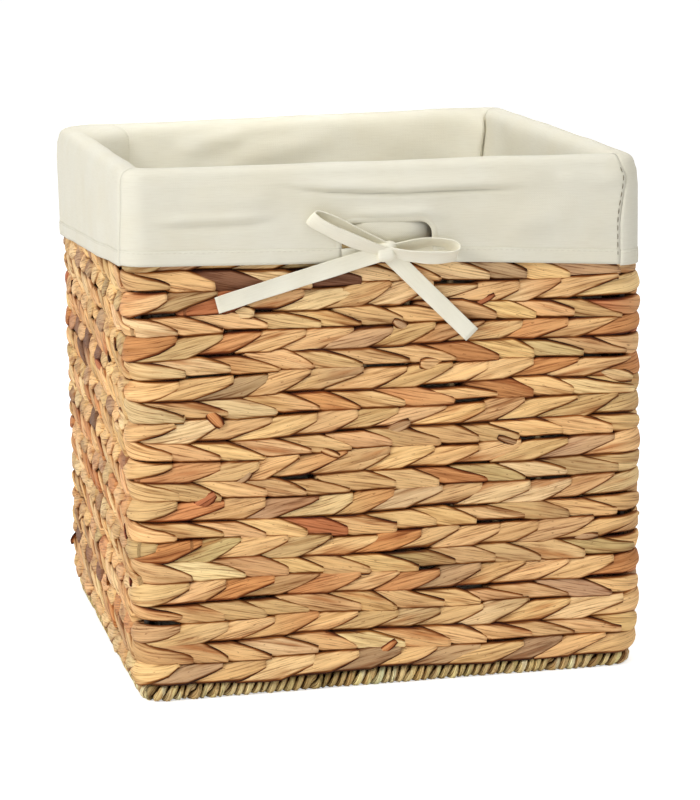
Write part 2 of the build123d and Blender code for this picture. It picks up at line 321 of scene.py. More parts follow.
class Strands:
    """Tubes of changing section gathered into one mesh, with their fibre directions and tints."""

    def __init__(self):
        self.points, self.faces, self.caps, self.fibres, self.tints = [], [], [], [], []
        self.count = 0

    def add(self, centres, wide, out, half_width, half_thick, tint, closed, sides=12, ridges=None, shade=None,
            drift=None, edge_shade_ease=0.0):
        """A tube along centres with a section along two directions; its grain may drift across it."""
        n = len(centres)
        angle = np.arange(sides) * 2 * np.pi / sides
        across = pressed(np.cos(angle), 0.9)
        x = half_width[:, None] * across
        y = half_thick[:, None] * pressed(np.sin(angle), 0.85)
        if ridges is not None:
            x = x * ridges
            y = y * ridges
        points = centres[:, None] + x[..., None] * wide[:, None] + y[..., None] * out[:, None]
        run = run_along(centres) + rng.uniform(0, 50)
        grain = x if drift is None else x + drift[:, None]
        # distance from the section's edge, where the fibre material paints shade
        from_edge = half_width[:, None] * (1 - np.abs(across))[None] + np.broadcast_to(edge_shade_ease, n)[:, None]
        fibre = np.stack([np.repeat(run[:, None], sides, 1), grain, from_edge], axis=2)
        self.faces.append(grid_faces(n, sides, closed, True, self.count))
        if not closed:
            start = self.count + np.arange(sides)[::-1]
            end = self.count + (n - 1) * sides + np.arange(sides)
            self.caps += [start, end]
        self.points.append(points.reshape(-1, 3))
        self.fibres.append(fibre.reshape(-1, 3))
        tints = np.repeat(tint, sides, axis=0)
        # a shade, where given, paints shade into the tints
        self.tints.append(tints if shade is None else tints * shade(points).reshape(-1, 3))
        self.count += n * sides

    def finish(self, name, material, bend=None):
        """The gathered tubes as one object, with its points moved by a bend if one is given."""
        faces = [tuple(f) for block in self.faces for f in block] + [tuple(cap) for cap in self.caps]
        points = np.concatenate(self.points)
        points = bend(points) if bend else points
        fibre = np.concatenate(self.fibres)
        return mesh_object(name, points, faces, material, {"fibre": fibre}, np.concatenate(self.tints))


def dress(piece, body, slot, *replaced):
    """A piece rides on a body and stands for its nodes, which are hidden; its slot is not used."""
    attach(piece, body)
    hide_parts(*replaced)
    return piece


# The closed line of the stakes round the basket

def rounded_square(half, radius, arc_steps=12, straight_steps=160):
    """Points and outward directions round a square with round corners, from the front left corner on."""
    arc = np.arange(arc_steps) / arc_steps * np.pi / 4
    facing = np.concatenate([arc - 0.75 * np.pi, np.full(straight_steps, -0.5 * np.pi), arc - 0.5 * np.pi])
    end = half - radius
    straight = np.linspace(-end, end, straight_steps, endpoint=False)
    across = np.concatenate([np.full(arc_steps, -end), straight, np.full(arc_steps, end)])
    outs = np.stack([np.cos(facing), np.sin(facing)], axis=1)
    points = np.stack([across, np.full(len(across), -end)], axis=1) + radius * outs
    all_points, all_outs = [], []
    for _ in range(4):
        all_points.append(points)
        all_outs.append(outs)
        points, outs = (np.stack([-part[:, 1], part[:, 0]], axis=1) for part in (points, outs))
    return np.concatenate(all_points), np.concatenate(all_outs)


class Loop:
    """A closed line with its length, read at any distance along it."""

    def __init__(self, half, radius):
        points, outs = rounded_square(half, radius)
        self.points = np.vstack([points, points[:1]])
        self.outs = np.vstack([outs, outs[:1]])
        self.run = run_along(self.points)
        self.length = self.run[-1]

    def at(self, distance):
        """Places and outward directions at distances along the line, as points with no height."""
        d = np.mod(distance, self.length)
        place = read_along(d, self.run, self.points)
        out = read_along(d, self.run, self.outs)
        out /= np.linalg.norm(out, axis=1, keepdims=True)
        flat = np.zeros((len(d), 1))
        return np.hstack([place, flat]), np.hstack([out, flat])


corner_radius = 12 * mm  # of the stakes' line: the strands ease round the corners
stake_loop = Loop(rod_line, corner_radius)
stake_space = stake_loop.length / stakes_round
upward = np.array([0.0, 0.0, 1.0])


def turned_section(angle, out):
    """Directions through and across a section that is turned from facing out towards facing up."""
    cosine = np.cos(angle)[:, None]
    sine = np.sin(angle)[:, None]
    return cosine * out + sine * upward, cosine * upward - sine * out


def smooth(share):
    """A share from 0 to 1, eased at both ends."""
    share = np.clip(share, 0, 1)
    return share * share * (3 - 2 * share)


def eased(values, t):
    """Values given at whole steps, read between them with a smooth ease, round a closed line."""
    count = len(values)
    i = np.floor(t).astype(int)
    share = smooth(t - i)
    return values[i % count] * (1 - share) + values[(i + 1) % count] * share


light_spread = (0.82, 1.14)  # of a tint from pass to pass
hue_spread = (0.96, 1.04)


def tint_runs(colours, count, shortest, longest):
    """A tint for each of count passes: each length of strand keeps one colour, a little uneven."""
    palette, shares = colours
    tints = []
    while len(tints) < count:
        colour = np.array(palette[rng.choice(len(palette), p=shares)])
        run = rng.integers(shortest, longest + 1)
        for _ in range(run):
            tints.append(colour * rng.uniform(*light_spread) * rng.uniform(*hue_spread, 3))
    return np.clip(np.array(tints[:count]), 0, 1)


# The wall isn't a true box: the front stands out at the foot of its left end and the right wall bows out
flare_reach = 3 * mm
flare_width = 110 * mm
flare_top = 0.9 * liner_top
bow_reach = 4.8 * mm
bow_foot = -15 * mm  # the bow grows from this height over bow_rise
bow_rise = 60 * mm
bow_head = cuff_foot + 4 * mm  # and ends at this one over bow_fall
bow_fall = 12 * mm


def flared(points):
    """Points of the woven wall and its base rope, moved to the wall's true form."""
    x, y, z = points.T
    near = np.exp(-((x + wall_half) / flare_width) ** 2 - ((y + wall_half) / flare_width) ** 2)
    low = np.clip(1 - z / flare_top, 0, 1)
    bowed = smooth((z - bow_foot) / bow_rise) * smooth((bow_head - z) / bow_fall)
    bowed = bowed * np.clip(x / wall_half, 0, 1) ** 6
    moved = points.copy()
    moved[:, 0] += bow_reach * bowed
    moved[:, 1] -= flare_reach * near * low
    return moved


# Twined rows: a strand shows outside as a slanted leaf from one stake to the next but one
leaf_half_height = 6.35 * mm
height_spread = (0.82, 1.12)
rising_height = 1.04  # share of the height in rows whose leaves rise to the right
falling_height = 0.94
leaf_half_thick = 2.1 * mm
thick_spread = (0.80, 1.25)
leaf_stand_out = 1.3 * mm  # how far the leaves below the cuff stand out past the solid rows
stand_out_spread = 0.35 * mm
standing_share = 0.86  # how far out a leaf's middle stands, as a share of the way to the solid row's face
standing_slope = 0.30  # its right end stands further out, over the next leaf
standing_arch = 0.10
end_thickness = 0.72  # share of the thickness at a leaf's ends
leaf_lean = 0.13  # a leaf's face tips up in rising rows and down in falling ones
lean_spread = 0.14
lift_spread = 0.9 * mm
nose_start = 0.08  # where a leaf's edge leaves the row's edge, in stake spaces from the leaf's middle
nose_spread = 0.14
nose_length = 0.93
roundness = 0.36  # 0 is a leaf with straight slanted ends, 1 one with round ends
grain_slope = 0.22
tuck = 0.8 * mm  # how far a leaf's left end reaches under the one before
leaf_margin = 0.6 * mm
inside_middle = 0.98  # where a strand is furthest inside, in stake spaces from the leaf's middle
inside_reach = 0.15
inside_half_height = 4.5 * mm
slim_share = 0.03  # share of the leaves that are dried up and slim
slim_height = 0.7
rings_per_pass = 14
strand_sides = 14
passes_round = stakes_round // 2
slow_wave = 0.9 * mm
quick_wave = 0.7 * mm


def row_wave(t, index):
    """How far a row strays from its level, in step with its neighbours."""
    slow = np.sin(2 * np.pi * 3 * t / stakes_round + 0.35 * index)
    quick = np.sin(2 * np.pi * 8 * t / stakes_round + 0.6 * index + 2)
    return slow_wave * slow + quick_wave * quick


gap_depth = 0.4 * mm  # strands this near the middle of the wall get the full painted shade
gap_fade = 2.4 * mm
side_gap_shade_ease = 0.6  # how much less painted shade the gaps of the side walls get
side_edge_shade_ease = 1.1 * mm  # how much thinner the painted shade on the edges of the side walls' strands is
painted_deep_shade = np.array([0.13, 0.05, 0.015])  # painted shade: share of each colour channel left deep between the strands


def gap_shade(place, out):
    """Painted shade for a strand's points: darker near the middle of the wall, deep between the strands."""
    def shade(points):
        depth = np.abs(((points - place[:, None]) * out[:, None]).sum(axis=2))
        deep = 1 - np.clip((depth - gap_depth) / gap_fade, 0, 1)
        deep = deep * (1 - side_gap_shade_ease * out[:, None, 0] ** 2)
        return 1 - deep[..., None] * (1 - painted_deep_shade)
    return shade


turn_shares = [0.0, 0.35, 0.8]  # how far a pass turns to another colour at its far end
turn_odds = [0.55, 0.3, 0.15]


def pass_tints(count):
    """Two tints for each pass of a strand, one for each end: most passes keep one colour."""
    first = tint_runs(hyacinth_tints, count, 1, 3)
    other = tint_runs(hyacinth_tints, count, 1, 1)
    mixed = rng.choice(turn_shares, count, p=turn_odds)[:, None]
    return first, first * (1 - mixed) + other * mixed


def leaf_edges(along, nose):
    """Upper and lower edge of a leaf at places along it, as shares of its half height."""
    end_share = np.clip((along - nose) / nose_length, 0, 1)
    start_share = np.clip((along + 1 - nose_start) / nose_length, 0, 1)
    round_end = 1 - np.sqrt(1 - end_share ** 2)
    round_start = np.sqrt(1 - (1 - start_share) ** 2)
    lower = 2 * (end_share * (1 - roundness) + round_end * roundness) - 1
    upper = 2 * (start_share * (1 - roundness) + round_start * roundness) - 1
    return upper, lower


def strand_ridges(t):
    """Uneven ridges along a strand, as factors round its section."""
    side_angle = np.arange(strand_sides) * 2 * np.pi / strand_sides
    ridges = np.ones((len(t), strand_sides))
    for lobes in (3, 4):
        turn = rng.uniform(0, 2 * np.pi) + eased(rng.uniform(-0.9, 0.9, stakes_round), t)
        ridges += rng.uniform(0.02, 0.05) * np.cos(lobes * side_angle[None] + turn[:, None])
    return ridges


def twined_strand(gather, index, middle_height, half_turn, shift, start, end, closed):
    """One strand of a row: a flat leaf outside one stake, then a short pass behind the next."""
    slant = 1 if index % 2 == 0 else -1
    count = int(round((end - start) * rings_per_pass))
    t = np.linspace(start, end, count, endpoint=not closed)
    place, out = stake_loop.at(t * stake_space)
    strand_turn = t + half_turn + eased(shift, t)
    number = np.round(strand_turn / 2).astype(int)
    leaf = number % passes_round
    along = strand_turn - 2 * number

    def per_leaf(low, high):
        return rng.uniform(low, high, passes_round)[leaf]

    # The leaf's outline in the wall's plane
    upper, lower = leaf_edges(along, nose_start + per_leaf(-nose_spread, nose_spread))
    slim = np.where(rng.random(passes_round) < slim_share, slim_height, 1.0)[leaf]
    height = leaf_half_height * slim * per_leaf(*height_spread)
    height = height * (rising_height if slant > 0 else falling_height)
    tucked = tuck * smooth((0.1 - along) / 0.3)
    from_inside = np.abs((along - inside_middle + 1) % 2 - 1)
    inside = smooth(1 - from_inside / inside_reach)
    outside = 1 - inside
    middle = ((upper + lower) / 2 * height + tucked / 2) * outside
    half_width = ((upper - lower) / 2 * height + tucked / 2 + leaf_margin) * outside
    half_width = half_width + inside_half_height * inside
    # How thick it is and how far it stands out from the stakes
    arch = np.cos(along * np.pi / 2)
    half_thick = leaf_half_thick * per_leaf(*thick_spread) * (end_thickness + (1 - end_thickness) * arch)
    swing = half_wall_thickness - leaf_half_thick - 0.1 * mm
    standing = swing * (standing_share + standing_slope * along + standing_arch * arch)
    standing = standing + per_leaf(-stand_out_spread, stand_out_spread)
    if middle_height < cuff_foot:
        standing = standing + leaf_stand_out
    away = standing * outside - swing * inside
    lift = per_leaf(-lift_spread, lift_spread) * outside + row_wave(t, index)
    lean = slant * leaf_lean + per_leaf(-lean_spread, lean_spread) * outside
    face, wide = turned_section(lean, out)
    centres = place + away[:, None] * out
    centres[:, 2] = middle_height + slant * middle + lift
    drift = slant * (middle - grain_slope * along * stake_space)
    if not closed:
        ends = np.minimum(np.arange(count), np.arange(count)[::-1])
        taper = np.clip((ends + 0.4) / 4, 0, 1) ** 0.5
        half_width = half_width * taper
        half_thick = half_thick * taper
    ridges = strand_ridges(t)
    first, last = pass_tints(passes_round)
    share = smooth((along + 1) / 2)[:, None]
    tint = first[leaf] * (1 - share) + last[leaf] * share
    gather.add(centres, wide, face, half_width, half_thick, tint, closed, strand_sides, ridges,
               gap_shade(place, out), drift, side_edge_shade_ease * out[:, 0] ** 2)


# Cut ends of strands that poke out between the rows
end_rng = np.random.default_rng(27)
ends_per_row = 3
end_length = 14 * mm
end_half_width = 4.0 * mm
end_half_thick = 1.5 * mm
end_tilt = 0.9
end_outward = 0.18
end_tints = [orange_brown, red_brown, taupe, straw, tan]
end_widths = np.array([0.5, 0.8, 1.0, 1.0, 0.9, 0.6])


def strand_end(gather, distance, height):
    """A short cut end of a strand, at a distance round the wall and a height."""
    place, out = (found[0] for found in stake_loop.at(np.array([distance])))
    sideways = np.cross(upward, out) * end_rng.choice([-1, 1])
    tilt = end_rng.uniform(-end_tilt, end_tilt)
    way = np.cos(tilt) * sideways + np.sin(tilt) * upward + end_outward * out
    way = way / np.linalg.norm(way)
    wide = np.cross(way, out)
    wide = wide / np.linalg.norm(wide)
    share = np.linspace(-0.5, 0.5, len(end_widths))[:, None]
    centres = place + half_wall_thickness * out + share * end_length * end_rng.uniform(0.8, 1.3) * way
    centres[:, 2] += height
    tint = np.array(end_tints[end_rng.integers(len(end_tints))])
    half_width = end_half_width * end_rng.uniform(0.6, 1.15) * end_widths
    half_thick = end_half_thick * end_widths
    rows = (len(end_widths), 1)
    wide, face, tint = (np.tile(part, rows) for part in (wide, np.cross(wide, way), tint))
    gather.add(centres, wide, face, half_width, half_thick, tint, False, sides=8)


hole_first_stake = 4  # the hand hole lies between these two stakes of the front and of the back wall
hole_last_stake = 7
hole_overlap = 0.07  # how far a strand reaches past the stake beside the hole, in stake spaces
cut_rows = ("weave_row_22", "weave_row_23")
row_shift = 0.3  # how far the leaves of a row lie off the stakes, in stake spaces, and how much that varies
stake_shift = 0.15
half_round = stakes_round // 2
for index, name in enumerate(row_names):
    row = Strands()
    height = wall_bottom + (index + 0.5) * row_pitch
    shift = rng.uniform(-row_shift, row_shift) + rng.uniform(-stake_shift, stake_shift, stakes_round)
    for half_turn in (0, 1):
        if name in cut_rows:
            for turn in (0, half_round):
                start = turn + hole_last_stake - hole_overlap
                end = turn + half_round + hole_first_stake + hole_overlap
                twined_strand(row, index, height, half_turn + index, shift, start, end, False)
        else:
            start = (half_turn + index + 1) % 2  # the strand's ends meet where it passes inside
            twined_strand(row, index, height, half_turn + index, shift, start, start + stakes_round, True)
    if height < cuff_foot - row_pitch:
        for distance in end_rng.uniform(0, stake_loop.length, ends_per_row):
            strand_end(row, distance, height + row_pitch / 2)
    dress(row.finish(f"{name}_strands", hyacinth, flared), "basket", "hyacinth", name)


# Twisted ropes
twist_unevenness = 0.16  # of a turn
ply_spread = (0.76, 1.14)
ply_flatness = 1.5  # how much wider than its share of the rope a ply lies
ply_ridge = 0.09
shaded_core = 0.56  # share of the rope's radius that gets painted shade, deep between the plies
core_fade = 0.2


def twisted_rope(gather, centres, out, half_wide, half_high, plies, pitch, closed, colours, sides=12):
    """A rope of plies that wind round a line, each ply a tube of its own."""
    following = centres[:1] if closed else centres[-1:]
    step = np.linalg.norm(np.diff(centres, axis=0, append=following), axis=1)
    along = np.concatenate([[0], np.cumsum(step)[:-1]])
    total = step.sum()
    turns = max(1, round(total / pitch))
    ply_share = 0.50 if plies == 2 else 0.45  # a ply's radius as a share of the rope's
    spots = turns * 2
    t = along / total * spots
    uneven = twist_unevenness * eased(rng.uniform(-1, 1, spots), t)

    # painted shade: darker towards the rope's middle, where the plies meet
    def ply_shade(points):
        reach = (points - centres[:, None]) / max(half_wide, half_high)
        light = np.clip((np.linalg.norm(reach, axis=2) - shaded_core) / core_fade, 0, 1)[..., None]
        return painted_deep_shade + light * (1 - painted_deep_shade)

    for ply in range(plies):
        angle = 2 * np.pi * (turns * along / total + ply / plies + uneven)
        path = centres + (half_wide * (1 - ply_share) * np.cos(angle))[:, None] * out
        path = path + (half_high * (1 - ply_share) * np.sin(angle))[:, None] * upward
        face, wide = turned_section(angle, out)
        thick = eased(rng.uniform(*ply_spread, spots), t)
        passes = tint_runs(colours, spots, 1, 5)
        tint = passes[np.floor(t).astype(int) % spots]
        half_width = half_high * ply_share * ply_flatness * thick
        half_thick = half_wide * ply_share * thick
        lobes = 1 + ply_ridge * np.cos(4 * np.arange(sides) * 2 * np.pi / sides + 3 * angle[:, None])
        gather.add(path, wide, face, half_width, half_thick, tint, closed, sides, lobes, ply_shade)


def rope_round(name, half, radius, height, half_wide, half_high, plies, pitch, step, material, colours):
    """A twisted rope on a closed line round the basket."""
    loop = Loop(half, radius)
    distance = np.arange(0, loop.length - step / 2, step)
    place, out = loop.at(distance)
    place[:, 2] = height
    rope = Strands()
    twisted_rope(rope, place, out, half_wide, half_high, plies, pitch, True, colours)
    return rope.finish(name, material, flared)


rope_half_wide = 5.6 * mm
rope_height = rope_high[2]
rope_inset = 1 * mm
rope_line = rope_high[0] - rope_half_wide - rope_inset
rope_corner_radius = 8 * mm
rope_pitch = 10.5 * mm
rope_step = 0.75 * mm
base_rope = rope_round("base_border_twist", rope_line, rope_corner_radius, rope_height / 2, rope_half_wide,
                       rope_height / 2, 2, rope_pitch, rope_step, seagrass, grass_tints)
dress(base_rope, "basket", "seagrass", "base_border_rope")

rim_slack = 0.8 * mm  # room between the rim border and the cloth over it
rim_half_high = (rim_high[2] - rim_low[2]) / 2 - rim_slack
rim_half_wide = half_wall_thickness - rim_slack
rim_height = (rim_low[2] + rim_high[2]) / 2
rim_corner_radius = 7 * mm
rim_pitch = 46 * mm
rim_step = 2.2 * mm
rim_twist = rope_round("rim_border_twist", rod_line, rim_corner_radius, rim_height, rim_half_wide,
                       rim_half_high, 3, rim_pitch, rim_step, hyacinth, hyacinth_tints)
dress(rim_twist, "basket", "hyacinth", "rim_border")

cord_spacing = 9.5 * mm
cord_twist_pitch = 22 * mm
cord_step = 2.4 * mm
cord_count = int((cords_high[1] - cords_low[1]) // cord_spacing)
cord_radius = (cords_high[2] - cords_low[2]) / 2
cords = Strands()
for k in range(cord_count):
    y = cords_low[1] + (k + 0.5) * (cords_high[1] - cords_low[1]) / cord_count
    margin = 5 * mm if k in (0, cord_count - 1) else 1 * mm  # the outer cords end short of the round corners
    x = np.arange(cords_low[0] + margin, cords_high[0] - margin, cord_step)
    centres = np.stack([x, np.full_like(x, y), np.full_like(x, cords_low[2] + cord_radius)], axis=1)
    aside = np.tile(np.array([0.0, -1.0, 0.0]), (len(x), 1))
    twisted_rope(cords, centres, aside, cord_radius, cord_radius, 2, cord_twist_pitch, False, grass_tints, 7)
dress(cords.finish("base_cord_twists", seagrass), "basket", "seagrass", "base_cords")

# Rods keep their solids and get grain
cane_rods = ("front_stakes", "back_stakes", "left_stakes", "right_stakes", "base_stakes")
wire_rods = ("base_wire_ring", "top_wire_ring", "corner_posts", "front_grip_wire", "back_grip_wire")
for material, names in ((cane, cane_rods), (wire, wire_rods)):
    for name in names:
        nodes[name].data.materials.clear()
        nodes[name].data.materials.append(material)


# Liner: one cloth surface from the bag's foot, over the rim, down to the hem
wall_sides = ("front", "right", "back", "left")
front_wall, right_wall, back_wall, left_wall = range(4)
notched_walls = (front_wall, back_wall)
cloth_thickness = 0.9 * mm
bag_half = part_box("liner_base_panel")[1][0] + cloth_thickness / 2
cuff_line = cuff_half - cloth_thickness / 2
bag_corner = 9.5 * mm
cuff_corner = 13.7 * mm
bridged_corner = 30 * mm  # the bag spans the back left corner instead of filling it
tight_corner = 4 * mm  # the bag is drawn into the back right corner
corner_bag_radii = (bag_corner, bag_corner, tight_corner, bridged_corner)
bridge_height = 140 * mm  # above this the corners have those radii
fold_start = liner_top - 10 * mm
fold_top = liner_top - cloth_thickness / 2
fold_power = 2.6  # 2 is a round fold over the rim, more is a squarer one
bag_rows = 46
fold_rows = 16
cuff_rows = 36
panel_columns = 150

# Hem heights along each wall, as (place from the wall's middle, height) in mm, seen from outside
hem_lines = (
    ((-155, 261.2), (-40, 258.2), (40, 255.6), (155, 248.8)),
    ((-155, 248.8), (155, 253.0)),
    ((-155, 253.0), (155, 243.2)),
    ((-155, 243.2), (155, 261.2)),
)
hem_height = 9 * mm
notch_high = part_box("front_notch_binding")[1]
binding_width = 3 * mm
notch_half = notch_high[0] - binding_width
notch_top = notch_high[2] - binding_width
notch_corner = 8 * mm

# Creases of the cuff on the front, in mm: points (place, height), then ridge or valley height and half width
front_creases = (
    (((-72, 308.5), (-51, 304.5), (-32, 302.5), (9, 300.5), (50, 301.0), (104, 299.8)), 1.6, 3.2),
    (((-72, 306.0), (-51, 301.4), (-32, 299.4), (9, 297.3), (50, 297.9), (96, 297.0)), -2.2, 1.1),
    (((-140, 286.4), (-112, 286.0), (-80, 286.2), (-62, 286.9)), 1.4, 2.2),
    (((-140, 282.6), (-112, 282.4), (-80, 282.8), (-62, 283.4)), -1.2, 1.8),
    (((-26, 287.4), (0, 286.0), (22, 286.2), (40, 280.5)), 1.5, 2.0),
    (((36, 289.0), (80, 279.0), (130, 286.0)), 1.0, 6.0),
    (((60, 272.0), (100, 276.0), (146, 268.0)), 0.9, 5.0),
    (((-120, 300.0), (-90, 296.0), (-60, 299.0)), 0.8, 5.0),
    (((100, 306.0), (128, 300.0), (150, 303.0)), 1.2, 4.0),
)
crease_strength = 1.5
back_fold_strength = 0.7
# Drape folds inside the back, seen from outside, so the photograph's left is at positive places
back_folds = (
    (((84, 292.0), (55, 301.2), (24, 308.0)), 4.5, 4.0),
    (((52, 284.0), (24, 291.8), (4, 294.5), (-36, 301.0)), 4.5, 3.2),
    (((100, 270.0), (60, 282.0), (20, 284.0)), 2.4, 7.0),
    (((-60, 300.0), (-95, 292.0), (-128, 280.0)), 2.2, 6.0),
    (((110, 300.0), (96, 280.0), (90, 255.0)), 2.0, 6.0),
)


def crease(place, height, line, rise, width):
    """Bulge of the cloth along a bent line, in metres, fading towards the line's ends."""
    points = np.array(line) * mm
    runs = np.diff(points, axis=0)
    lengths = np.linalg.norm(runs, axis=1)
    before = np.concatenate([[0], np.cumsum(lengths)[:-1]])
    nearest = np.full(np.shape(place), np.inf)
    along = np.zeros(np.shape(place))
    for point, run, length, start in zip(points, runs, lengths, before):
        share = ((place - point[0]) * run[0] + (height - point[1]) * run[1]) / length ** 2
        share = np.clip(share, 0, 1)
        gap = np.hypot(place - point[0] - share * run[0], height - point[1] - share * run[1])
        closer = gap < nearest
        nearest = np.where(closer, gap, nearest)
        along = np.where(closer, start + share * length, along)
    total = lengths.sum()
    fade = smooth(np.minimum(along, total - along) / (0.3 * total))
    return rise * mm * np.exp(-0.5 * (nearest / (width * mm)) ** 2) * fade


# Slow ripples of the cloth
ripple_cycles = (5, 9, 14, 23)
cuff_ripple = 0.75 * mm
cuff_fullness = 1.4 * mm
bag_ripple = 0.7 * mm
bag_fullness = 1.6 * mm
rim_ripple = 0.35 * mm
cuff_phases = rng.uniform(0, 2 * np.pi, 4)
cuff_slants = rng.uniform(-40, 40, 4)
bag_phases = rng.uniform(0, 2 * np.pi, 4)
bag_slants = rng.uniform(-45, 45, 4)
rim_phases = rng.uniform(0, 2 * np.pi, 4)


def ripple(share, height, phases, slants):
    """Slow waves round the liner that lean with height; share is 0 to 1 once round."""
    waves = [
        np.sin(2 * np.pi * cycles * share + phase + slant * height) / (1 + 0.12 * cycles)
        for cycles, phase, slant in zip(ripple_cycles, phases, slants)
    ]
    return sum(waves)


def corner_turn(extra, radius, flat):
    """Place past a wall's end and direction in a corner: a round turn, or a flat span where flat is 1."""
    angle = np.clip(extra / radius, 0, np.pi / 2)
    ahead = radius * ((1 - flat) * np.sin(angle) + flat * angle / (np.pi / 2))
    back = radius * ((1 - flat) * (1 - np.cos(angle)) + flat * angle / (np.pi / 2))
    heading = (1 - flat) * angle + flat * np.pi / 4 * np.clip(angle / 0.3, 0, 1)
    return ahead, back, heading


def wall_point(wall, place, half, left_radius, right_radius, flat_left, push, lift):
    """Points of a wall's cloth at places along it, pushed out along its direction and lifted to a height."""
    left_end = half - left_radius
    right_end = half - right_radius
    right_extra = np.clip(place - right_end, 0, None)
    left_extra = np.clip(-left_end - place, 0, None)
    right_ahead, right_back, right_heading = corner_turn(right_extra, right_radius, 0.0)
    left_ahead, left_back, left_heading = corner_turn(left_extra, left_radius, flat_left)
    along = np.clip(place, -left_end, right_end) + right_ahead - left_ahead
    depth = half - right_back - left_back
    heading = right_heading - left_heading
    along = along + push * np.sin(heading)
    depth = depth + push * np.cos(heading)
    turn = wall * np.pi / 2
    x = along * np.cos(turn) + depth * np.sin(turn)
    y = along * np.sin(turn) - depth * np.cos(turn)
    return np.stack([x, y, lift + 0 * x], axis=-1)


# How much higher than its plain level the rim stands at each corner, round from the front left
corner_lifts = (0.2 * mm, -1.6 * mm, 2.0 * mm, -0.6 * mm)
lift_fade = 45 * mm


def rim_lift(wall, place, height):
    """How far the fold stands above its plain level, fading below the rim."""
    share = np.clip(0.5 + place / (2 * cuff_line), 0, 1)
    lift = corner_lifts[wall] * (1 - share) + corner_lifts[(wall + 1) % 4] * share
    return lift * np.clip(1 - (fold_start - height) / lift_fade, 0, 1) ** 2


def hem_level(wall, place):
    """Height of the hem at places along a wall."""
    line = np.array(hem_lines[wall]) * mm
    return np.interp(place, line[:, 0], line[:, 1])


def share_round(wall, place, half):
    return (wall + 0.5 + place / (2 * half)) / 4


def cuff_bulge(wall, place, height):
    """How far the cuff stands out from its plain face."""
    below_fold = np.clip((liner_top - height) / (20 * mm), 0, 1)
    share = share_round(wall, place, cuff_line)
    bulge = (cuff_ripple * ripple(share, height, cuff_phases, cuff_slants) + cuff_fullness) * below_fold
    if wall == front_wall:
        for line, rise, width in front_creases:
            bulge = bulge + crease_strength * crease(place, height, line, rise, width)
    return np.maximum(bulge, -0.5 * mm)


def cuff_point(wall, place, height, lift=0.0):
    """Points on the cuff at places and heights, a distance off its surface."""
    push = cuff_bulge(wall, place, height) + lift
    risen = height + rim_lift(wall, place, height)
    return wall_point(wall, place, cuff_line, cuff_corner, cuff_corner, 0.0, push, risen)


# Where the front right seam crosses its corner, as (height in mm, share of the corner's turn)
front_seam = ((250, 0.02), (275, 0.02), (283, 0.06), (294, 0.14), (303, 0.18), (313, 0.04))


def seam_share(corner, height):
    """How far round a corner its seam lies, on the cuff."""
    if corner == 1:
        line = np.array(front_seam)
        return np.interp(height, line[:, 0] * mm, line[:, 1])
    return 0.25 + 0.05 * np.sin(height * 90 + corner)


bag_seam_shares = (0.5, 0.5, 0.5, 0.0)


def liner_rows():
    """Half size, height, cuff share, direction out and up, and fold share of each row of the cloth."""
    rows = []
    for k in range(bag_rows):
        height = bag_bottom + cloth_thickness + (fold_start - bag_bottom) * k / bag_rows
        rows.append((bag_half, height, 0, -1, 0, 0))
    middle = (bag_half + cuff_line) / 2
    reach = (cuff_line - bag_half) / 2
    for k in range(fold_rows):
        angle = math.pi * (1 - k / fold_rows)
        across = pressed(math.cos(angle), 2 / fold_power)
        height = fold_start + (fold_top - fold_start) * pressed(math.sin(angle), 2 / fold_power)
        rows.append((middle + reach * across, height, 0, math.cos(angle), math.sin(angle), (across + 1) / 2))
    for k in range(cuff_rows + 1):
        rows.append((cuff_line, fold_start, k / cuff_rows, 1, 0, 1))
    return rows


def bridge_radius(corner, height):
    """Corner radius of the bag at a height: bridged corners close up towards the foot."""
    radius = corner_bag_radii[corner]
    rise = np.clip((height - bag_bottom) / bridge_height, 0, 1)
    return bag_corner + (radius - bag_corner) * rise


# The bag swells out into the front hand hole
hole_swell = 159 * mm - bag_half
hole_swell_half = 33 * mm
hole_swell_rise = 13 * mm
hole_middle = wall_bottom + 21.6 * row_pitch

# A deep fold beside the back right corner, which drifts from the corner below the rim
fold_depth = 8 * mm
fold_width = 14 * mm
fold_drift = 5 * mm
drift_width = 25 * mm

# Lengths over which the bag's fullness eases out at the rim, at its foot and at its base
rim_ease = 12 * mm
drift_ease = 45 * mm
foot_ease = 60 * mm
base_ease = 90 * mm
bag_slack = 1.2 * mm  # how far the bag may lie outside its plain face


def bag_bulge(wall, place, height):
    """How far the bag stands in from its plain face."""
    near_rim = np.clip((liner_top - height) / rim_ease, 0, 1)
    off_base = smooth((height - bag_bottom) / base_ease)
    share = share_round(wall, place, bag_half)
    bulge = bag_fullness + bag_ripple * ripple(share, height, bag_phases, bag_slants)
    if wall == back_wall:
        for line, rise, width in back_folds:
            bulge = bulge + back_fold_strength * crease(place, height, line, rise, width)
    bulge = np.clip(bulge, -bag_slack, None) * np.clip((height - bag_bottom) / foot_ease, 0, 1) * near_rim
    drawn = fold_drift * smooth((liner_top - height) / drift_ease) * off_base
    if wall == right_wall:
        bulge = bulge + drawn * np.exp(-((place - bag_half) / drift_width) ** 2)
    if wall == back_wall:
        gap = place + bag_half - drawn
        crest = np.exp(-(gap / fold_width) ** 2) * smooth((gap - 0.5 * mm) / (2.5 * mm))
        bulge = bulge + fold_depth * crest * near_rim * off_base
    if wall == front_wall:
        across = np.exp(-(place / hole_swell_half) ** 4)
        bulge = bulge - hole_swell * across * np.exp(-((height - hole_middle) / hole_swell_rise) ** 6)
    return bulge


def notch_distance(place, height):
    """Signed distance to the notch's edge, negative in the notch, which is open below."""
    across = np.abs(place) - (notch_half - notch_corner)
    up = height - (notch_top - notch_corner)
    outside = np.hypot(np.clip(across, 0, None), np.clip(up, 0, None))
    return outside + np.minimum(np.maximum(across, up), 0) - notch_corner


notch_snap = 1.4 * mm  # grid points nearer than this to the notch's edge move onto it


